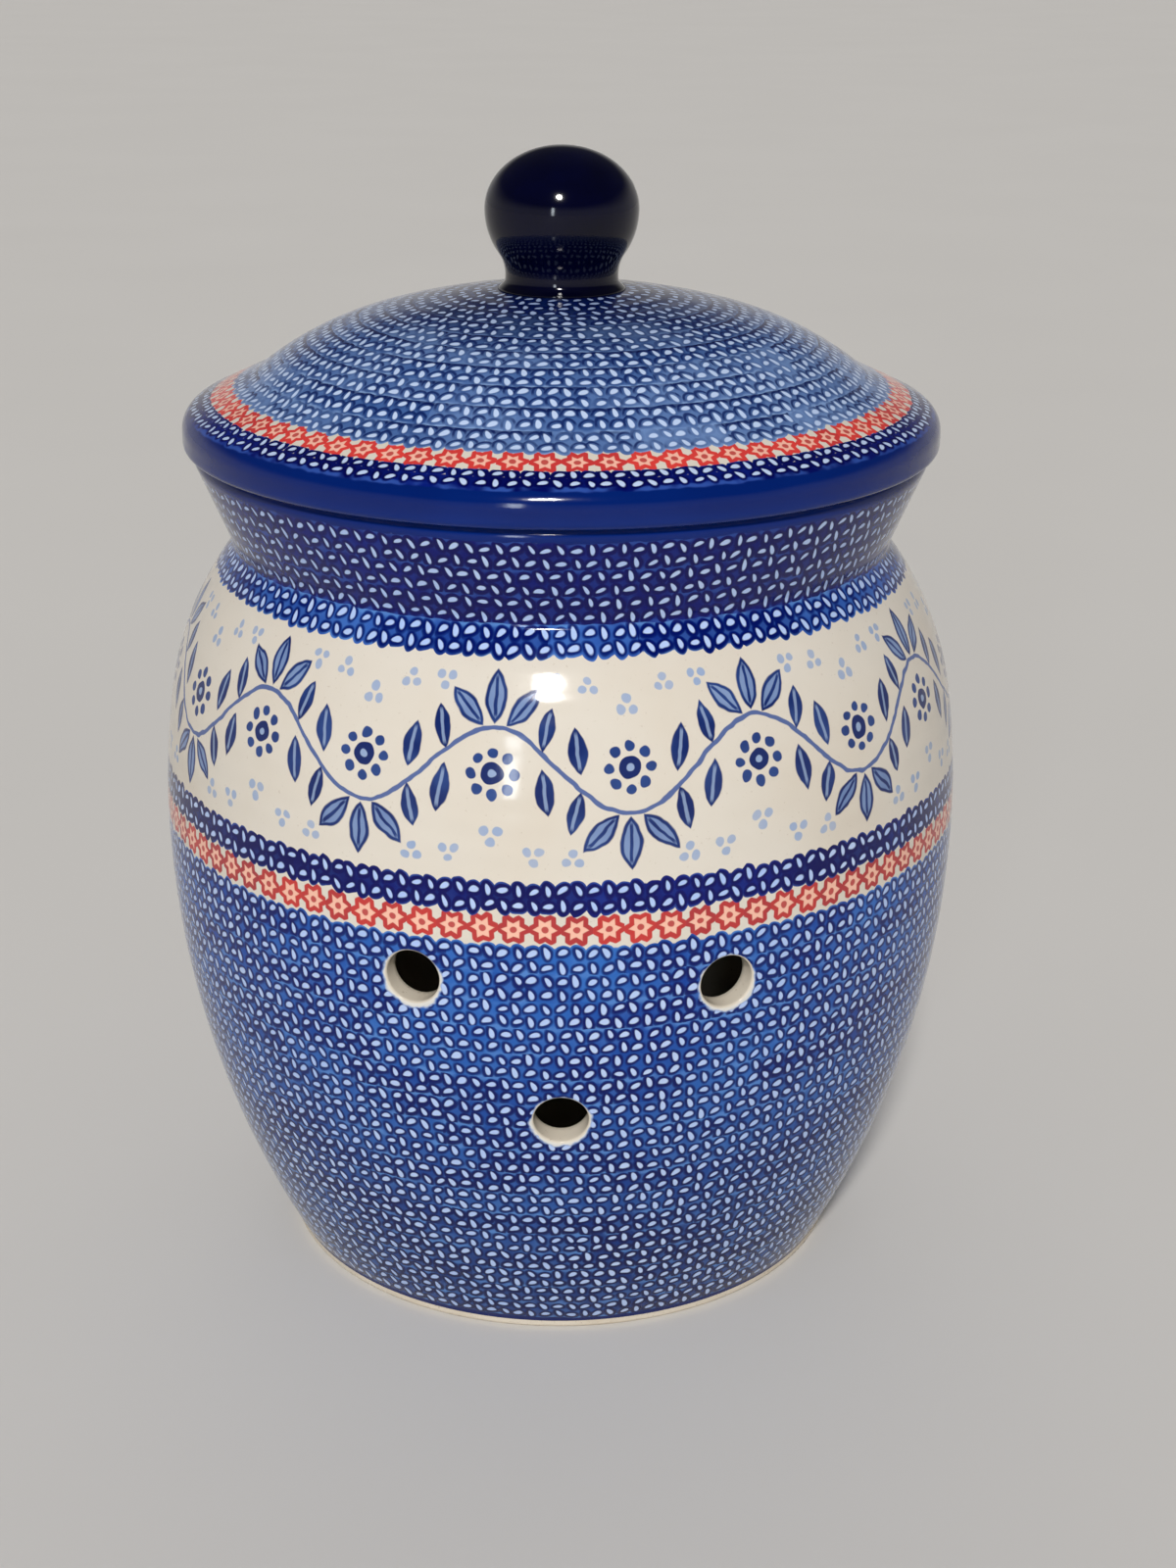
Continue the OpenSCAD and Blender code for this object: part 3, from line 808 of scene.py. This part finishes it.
class Vent:
    """A vent hole in a square of the jar's grid, made of loops of vertices.

    A ring has the loop's places in millimetres round and along the outer face, from the hole's middle.
    """

    def __init__(self, jar, turn, z):
        self.jar = jar
        self.s = jar_face.where(1, z, crease_s)
        self.u, self.theta = 0.5 + turn / 360, radians(270 + turn)
        i0 = int(round(self.u * COLUMNS - VENT_CELLS / 2))
        j0 = int(round(np.interp(self.s, face_s, range(len(face_s))) - VENT_CELLS / 2))
        i1, j1 = i0 + VENT_CELLS, j0 + VENT_CELLS
        self.columns, self.rows = range(i0, i1), range(j0, j1)
        (self.r, _), (n_r, n_z) = jar_face.at(self.s)
        self.normal = np.array([*(n_r * polar(self.theta)), n_z])
        self.around = 2 * pi * self.r
        self.spread = self.r / (self.r - WALL), low_r / (low_r - WALL)
        self.corners = [(i, j0) for i in self.columns] + [(i1, j) for j in self.rows]
        self.corners += [(i + 1, j1) for i in reversed(self.columns)]
        self.corners += [(i0, j + 1) for j in reversed(self.rows)]
        self.square = [((i / COLUMNS - self.u) * self.around, face_s[j] - self.s) for i, j in self.corners]
        self.total = len(self.corners)

    def grid_loop(self, grid):
        return [grid[j][i] for i, j in self.corners + self.corners[:1]]

    def circle(self, r, spread=(1.0, 1.0)):
        turns = (polar(-1.5 * QUARTER + 2 * pi * k / self.total) for k in range(self.total))
        return [(r * x * spread[0], r * y * spread[1]) for x, y in turns]

    def points(self, ring, inset, out):
        """A ring's points on the outer face, or inset into the wall, moved out along the hole."""
        found = []
        for x, y in ring:
            (r, z), _ = jar_face.at(self.s + y, inset)
            theta = self.theta + x / self.r
            found.append(np.array([*(polar(theta) * (r + jar_wobble(theta, z))), z]) + out * self.normal)
        return found

    def join(self, loop, ring, slot, height, bake):
        """The faces from the last loop to the next. height gives v for a distance along the face."""
        places = [[(self.u + x / self.around, height(self.s + y)) for x, y in r + r[:1]]
                  for r in (self.ring, ring)]
        self.jar.strip((self.loop, loop), places, slot, bake)
        self.loop, self.ring = loop, ring

    def outer_side(self, grid):
        """From the outer grid to the round, softened edge."""
        self.loop, self.ring = self.grid_loop(grid), self.square
        edge = self.circle(VENT_R + VENT_EDGE)
        steps = [(between(self.square, edge, t), 0.0, DECOR) for t in (0.3, 0.58, 0.8, 0.93, 1.0)]
        for t, slot in ((0.3, DECOR), (0.6, INSIDE), (0.85, INSIDE)):
            r = VENT_R + VENT_EDGE * (1 - sin(t * QUARTER))
            steps.append((self.circle(r), -VENT_EDGE * (1 - cos(t * QUARTER)), slot))
        for ring, out, slot in steps:
            loop = self.jar.loop(self.points(ring, 0.0, out))
            self.join(loop, ring, slot, lambda s: s / V_UNIT, outside_map)

    def bore(self, left):
        """Through the wall. left is the bore's place on the baked map, which the pattern follows."""
        self.ring = self.circle(VENT_R, self.spread)
        start = np.array(self.points(self.circle(VENT_R), 0.0, -VENT_EDGE))
        end = np.array(self.points(self.ring, WALL, BORE_INNER))
        for depth in range(BORE_STEPS):
            loop = self.jar.loop(start + (end - start) * depth / (BORE_STEPS - 1))
            heights = (BORE_ROW + BORE_TALL * (depth + b) / BORE_STEPS for b in (0, 1))
            across = [left + BORE_WIDE * k / self.total for k in range(self.total + 1)]
            places = [[(u, v) for u in across] for v in heights]
            self.jar.strip((self.loop, loop), places, INSIDE, lambda u, v, middle: (u, v))
            self.loop = loop

    def inner_side(self, grid, height, bake):
        """From the bore over the softened inner edge to the inner grid."""
        edge = self.circle(VENT_R + INNER_EDGE, self.spread)
        steps = [(self.circle(VENT_R + INNER_STEP, self.spread), INNER_STEP), (edge, 0.0)]
        steps += [(between(edge, self.square, t), 0.0) for t in (0.25, 0.55, 0.8)]
        for ring, out in steps:
            self.join(self.jar.loop(self.points(ring, WALL, out)), ring, INSIDE, height, bake)
        self.join(self.grid_loop(grid), self.square, INSIDE, height, bake)


def add_foot(jar):
    """The glazed hollow under the foot, the bare ring that it stands on, and its rounded edge."""
    ring_r = FOOT_R - FOOT_RING
    hollow = [(r, FOOT_RECESS) for r in (*HOLLOW_RINGS, ring_r - 5.0)]
    hollow.append((ring_r - 3.8, FOOT_RECESS - 0.4))
    stand = [(ring_r - 0.5, 0.4), (ring_r + 0.7, 0.0), *((r, 0.0) for r in STAND_RINGS)]
    edge = [(FOOT_R - 1.5, 0.0), (FOOT_R - 0.8, 0.25), (FOOT_R - 0.3, 0.7), (FOOT_R, 1.3), (FOOT_R, 2.2)]
    run = run_of(hollow + stand + edge) / V_UNIT
    rings = [jar.ring(*p) for p in hollow + stand + edge]
    bare, under = len(hollow) - 1, len(hollow) + len(stand)
    under_map = row_map(UNDER_ROWS, run[under - 1])
    jar.bands(rings[:under], run[:under], lambda k: CLAY if k >= bare else INSIDE, under_map)
    rise_v = [max(v - run[-1] - FOOT_TURN / V_UNIT, -FACE_LEAD / V_UNIT) for v in run[under - 1:]]
    jar.bands(rings[under - 1:], rise_v, lambda k: CLAY, outside_map)
    return rings[-1]


def rim_and_collar():
    """Points over the rim and down the collar's inner face, to where the crease begins."""
    points = [(rim_out_c[0] - SEAT_OUT, RIM_Z), (rim_in_c[0] + SEAT_IN, RIM_Z)]
    points += [rim_in_c + RIM_IN * polar(a) for a in np.linspace(QUARTER, pi - lean, 6)]
    start, end = points[-1], jar_face.at(collar_s - NEAR, WALL)[0]
    return points + [start + (end - start) * t / 8 for t in range(1, 8)]


def build_jar():
    jar = Lathe(jar_wobble)
    vents = [Vent(jar, turn, z) for turn, z in VENTS]

    def left_out(row):
        return {i for vent in vents if row in vent.rows for i in vent.columns}

    foot = add_foot(jar)
    outer = [jar.ring(*jar_face.at(s)[0]) for s in face_s]
    jar.bands([foot, outer[0]], (-FOOT_TURN / V_UNIT, 0.0), lambda k: CLAY, outside_map)

    # The inner face repeats the outer rows at the wall's depth, down to the floor's rounded corner
    floor_s = (floor_a - jar_face.pieces[0].start) * low_r
    rows = [k for k, s in enumerate(face_s) if floor_s + 1.0 < s <= collar_s + NEAR]
    wall = {k: jar_face.at(face_s[k], WALL)[0] for k in rows}
    inner = {k: jar.ring(*wall[k]) for k in rows}
    jar.bands(outer, face_s / V_UNIT, lambda k: DECOR, outside_map, left_out)

    # Over the rim and down the inside. The second band, on top of the rim, is the lid's bare seat
    down = rim_and_collar()
    corner = [floor_c + FLOOR_FILLET * polar(a) for a in np.linspace(floor_a, -QUARTER, 9)]
    corner += [(r, FLOOR_Z) for r in FLOOR_RINGS]
    places = [jar_face.at(face_s[-1])[0]] + down + [wall[k] for k in reversed(rows)] + corner
    loops = outer[-1:] + [jar.ring(*p) for p in down] + [inner[k] for k in reversed(rows)]
    loops += [jar.ring(*p) for p in corner]
    run = run_of(places) / V_UNIT
    inside_map = row_map(INSIDE_ROWS, run[-1])
    top = 1 + len(down)
    row_at = dict(enumerate(reversed(rows), top))
    jar.bands(loops, run, lambda k: CLAY if k == 1 else INSIDE, inside_map,
              lambda k: left_out(row_at[k + 1]) if k in row_at and k + 1 in row_at else ())

    row_s, row_v = face_s[rows], run[top:top + len(rows)][::-1]
    for number, vent in enumerate(vents):
        vent.outer_side(outer)
        vent.bore(BORE_LEFT + BORE_PITCH * number)
        vent.inner_side(inner, lambda s: float(np.interp(s, row_s, row_v)), inside_map)
    return jar


def rise(z):
    return jar_face.where(1, z, rim_s)


jar_bands = SimpleNamespace(
    body=BODY_START, red=rise(RED_Z), navy=rise(NAVY_Z), frieze=rise(FRIEZE_Z),
    shoulder=rise(SHOULDER_BAND_Z), crease=rise(CREASE_Z), rim=rise(RIM_BAND_Z),
    fit=jar_face.radius_fit(0, rise(RED_Z)), z=rise, r=lambda z: float(jar_face.at(rise(z))[0][0]))
inside, clay = inside_glaze(), bare_clay()
jar_piece = build_jar().mesh("jar_body", [jar_glaze(jar_bands), inside, clay])


# The lid
LID_UNDER_ROWS, LID_MAP_C, LID_MAP_R = (0.83, 0.99), 0.41, 0.40


def round_map(centre, r, full):
    """A round place on the baked map, by the distance from the axis, with v from 0 to full."""
    return lambda u, v, middle: tuple(centre + r * v / full * polar(QUARTER + 2 * pi * u))


def build_lid():
    lid = Lathe(lid_wobble)
    # From the crown's underside outwards, round the edge and back over the top
    under_s = lid_under.steps(UNDER_STEPS)[::-1]
    under = [lid_under.at(s)[0] for s in under_s]
    under[0][0] = 0.0

    def under_slot(k):
        seat = under[k + 1][0] > ring_out - NEAR and abs(under[k][1] - RIM_Z) < NEAR
        return CLAY if seat else INSIDE

    rings = [lid.ring(*p) for p in under]
    under_map = row_map(LID_UNDER_ROWS, lid_under.length / V_UNIT)
    lid.bands(rings, under_s / V_UNIT, under_slot, under_map)
    top_s = lid_face.steps(LID_STEPS)[::-1]
    loops = rings[-1:] + [lid.ring(*lid_face.at(s)[0]) for s in top_s[1:]]
    top_map = round_map(LID_MAP_C, LID_MAP_R, lid_face.length / V_UNIT)
    lid.bands(loops, top_s / V_UNIT, lambda k: DECOR, top_map)
    return lid


def reach(r):
    return lid_face.where(0, r, lid_roll)


lid_bands = SimpleNamespace(
    dome=reach(KNOB_FOOT), red=reach(LID_RED_R), navy=reach(LID_NAVY_R), rim=lid_roll + LID_RIM_START,
    turn=lid_turn, fit=lid_face.radius_fit(reach(KNOB_FOOT), reach(LID_RED_R)))
lid_piece = build_lid().mesh("lid_dome", [lid_glaze(lid_bands), inside, clay])


# The knob
KNOB_MAP_C, KNOB_MAP_R = 0.5, 0.48
NECK_STEPS, WAIST_STEPS, BALL_STEPS = 10, 8, 36
TOP_GAP = 0.05  # keeps the top of the knob inside the solid
FOOT_FACE_RING = 12.0  # radius of the ring on the flat face under the knob


def cubic(p, q, r, s, steps):
    """Points on a curve from p to s that is pulled towards q and r."""
    return [(1 - t) ** 3 * p + 3 * (1 - t) ** 2 * t * q + 3 * (1 - t) * t * t * r + t ** 3 * s
            for t in np.linspace(0, 1, steps + 1)]


def knob_line():
    """The knob's outline from the middle of its foot to its top."""
    ball_z = knob_z + KNOB_H - KNOB_CAP

    def ball(a):
        return np.array([KNOB_R * cos(a), ball_z + (KNOB_DROP if a < 0 else KNOB_CAP) * sin(a)])

    neck = ball(NECK_ANGLE)
    neck_u = np.array([KNOB_R * sin(NECK_ANGLE), -KNOB_DROP * cos(NECK_ANGLE)])
    neck_u = neck_u / np.linalg.norm(neck_u)
    foot, waist = np.array([KNOB_FOOT, knob_z]), np.array([WAIST_R, knob_z + WAIST_H])
    pull, foot_pull = np.linalg.norm(neck - waist) / 3, WAIST_H / 2
    foot_end, waist_end = foot + [-foot_pull, foot_pull], waist - [0, foot_pull]
    line = [(0.0, knob_z), (FOOT_FACE_RING, knob_z)]
    line += cubic(foot, foot_end, waist_end, waist, WAIST_STEPS)
    line += cubic(waist, waist + [0, pull], neck + pull * neck_u, neck, NECK_STEPS)[1:]
    line += [ball(NECK_ANGLE + (QUARTER - NECK_ANGLE) * k / BALL_STEPS) for k in range(1, BALL_STEPS)]
    return line + [(0.0, knob_z + KNOB_H - TOP_GAP)]


def build_knob():
    knob = Lathe(knob_wobble)
    line = knob_line()
    run = run_of(line)
    run = (run[-1] - run) / V_UNIT
    rings = [knob.ring(*p) for p in line]
    knob.bands(rings, run, lambda k: DECOR, round_map(KNOB_MAP_C, KNOB_MAP_R, run[0]))
    return knob


knob_piece = build_knob().mesh("ball_knob", [knob_glaze()])

for piece, body, node, slot in ((jar_piece, "jar_body", "jar", "jar_glaze"),
                                (lid_piece, "lid_body", "lid", "lid_glaze"),
                                (knob_piece, "lid_body", "knob", "knob_glaze")):
    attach(piece, body)
    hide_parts(node)

# A pale floor, soft light and the camera where the photograph was taken from, all in metres
FLOOR_HALF, FLOOR_TONES = 12.0, ((0.66, 0.64, 0.61, 1.0), (0.69, 0.67, 0.64, 1.0))
BACKDROP_LOW, BACKDROP_HIGH = (0.44, 0.43, 0.415, 1.0), (0.05, 0.05, 0.055, 1.0)
BACKDROP_RISE = 0.1, 0.42  # where it turns from low to high, as the upward part of the view's direction
SKY, SKY_LEVEL = (0.92, 0.94, 1.0, 1.0), 0.22
WARM, WARMER, COOL = (1.0, 0.98, 0.95), (1.0, 0.97, 0.93), (0.85, 0.93, 1.0)
KEY_WIDE, BACK_WIDE, WINDOW_SPREAD = radians(7), radians(70), radians(60)
WINDOW, WINDOW_AIM = Vector((-0.95, -4.0, 0.95)), Vector((0.0, 0.0, 0.24))
FOCAL_PX, IMAGE_H, SENSOR = 2450.0, 1600.0, 36.0
CAMERA_PLACE, CAMERA_TURN = (0.0, -0.86897, 0.50403), (0.68, 20.76, 0.3)  # yaw, pitch and roll in degrees


def pale_floor():
    mesh = bpy.data.meshes.new("floor")
    corners = [(x * FLOOR_HALF, y * FLOOR_HALF, 0) for x, y in ((-1, -1), (1, -1), (1, 1), (-1, 1))]
    mesh.from_pydata(corners, [], [(0, 1, 2, 3)])
    net = Net("pale_floor")
    mesh.materials.append(net.finish(mix(net.noise(3.0), *FLOOR_TONES), 0.85))
    return add_object("floor", mesh)


def lamp(kind, name, shines, energy, colour, mirrored=True, **settings):
    """A lamp that shines along a direction. The glaze mirrors it or not."""
    data = bpy.data.lights.new(name, kind)
    data.energy, data.color = energy, colour
    for key, value in settings.items():
        setattr(data, key, value)
    holder = add_object(name, data)
    holder.visible_glossy = mirrored
    holder.rotation_euler = Vector(shines).to_track_quat("-Z", "Y").to_euler()
    return holder


def studio_world():
    """Even light, and a backdrop as it is seen: pale to above the horizon, dark overhead."""
    net = Net("studio", "worlds")
    even = net.tree.nodes["Background"]
    net.feed(even, {0: SKY, 1: SKY_LEVEL})
    up = net.node("SeparateXYZ", {0: net.node("TexCoord", {}, "Generated")}, "Z")
    backdrop = mix(smooth(up, *BACKDROP_RISE), BACKDROP_LOW, BACKDROP_HIGH)
    seen = net.node("Background", {0: backdrop})
    ray = net.node("LightPath", {}, "Is Camera Ray")
    either = ray.most(ray.other("Is Glossy Ray")).most(ray.other("Is Transmission Ray"))
    blend = net.node("MixShader", {0: either, 1: Signal(net, even.outputs[0]), 2: seen})
    net.feed(net.tree.nodes["World Output"], {"Surface": blend})
    return net.owner


def photo_camera():
    """The camera that was fitted to the photograph."""
    yaw, pitch, roll = (radians(v) for v in CAMERA_TURN)
    data = bpy.data.cameras.new("camera")
    data.sensor_width = SENSOR
    data.lens = FOCAL_PX / IMAGE_H * SENSOR
    camera = add_object("camera", data)
    camera.matrix_world = Matrix.Translation(CAMERA_PLACE)
    for angle, axis in ((-yaw, "Z"), (QUARTER - pitch, "X"), (roll, "Z")):
        camera.matrix_world = camera.matrix_world @ Matrix.Rotation(angle, 4, axis)
    return camera


floor = pale_floor()
lamp("SUN", "key", (0.06, 0.77, -0.64), 2.3, WARM, angle=KEY_WIDE)
lamp("SUN", "back left", (0.3, -0.92, -0.24), 0.52, WARMER, mirrored=False, angle=BACK_WIDE)
lamp("SUN", "back right", (-0.3, -0.92, -0.24), 0.44, WARMER, mirrored=False, angle=BACK_WIDE)
window = lamp("AREA", "window", WINDOW_AIM - WINDOW, 2.4, COOL,
              shape="RECTANGLE", size=0.3, size_y=1.5, spread=WINDOW_SPREAD)
window.location = WINDOW
scene.world = studio_world()
scene.camera = photo_camera()
scene.view_settings.view_transform = "Standard"
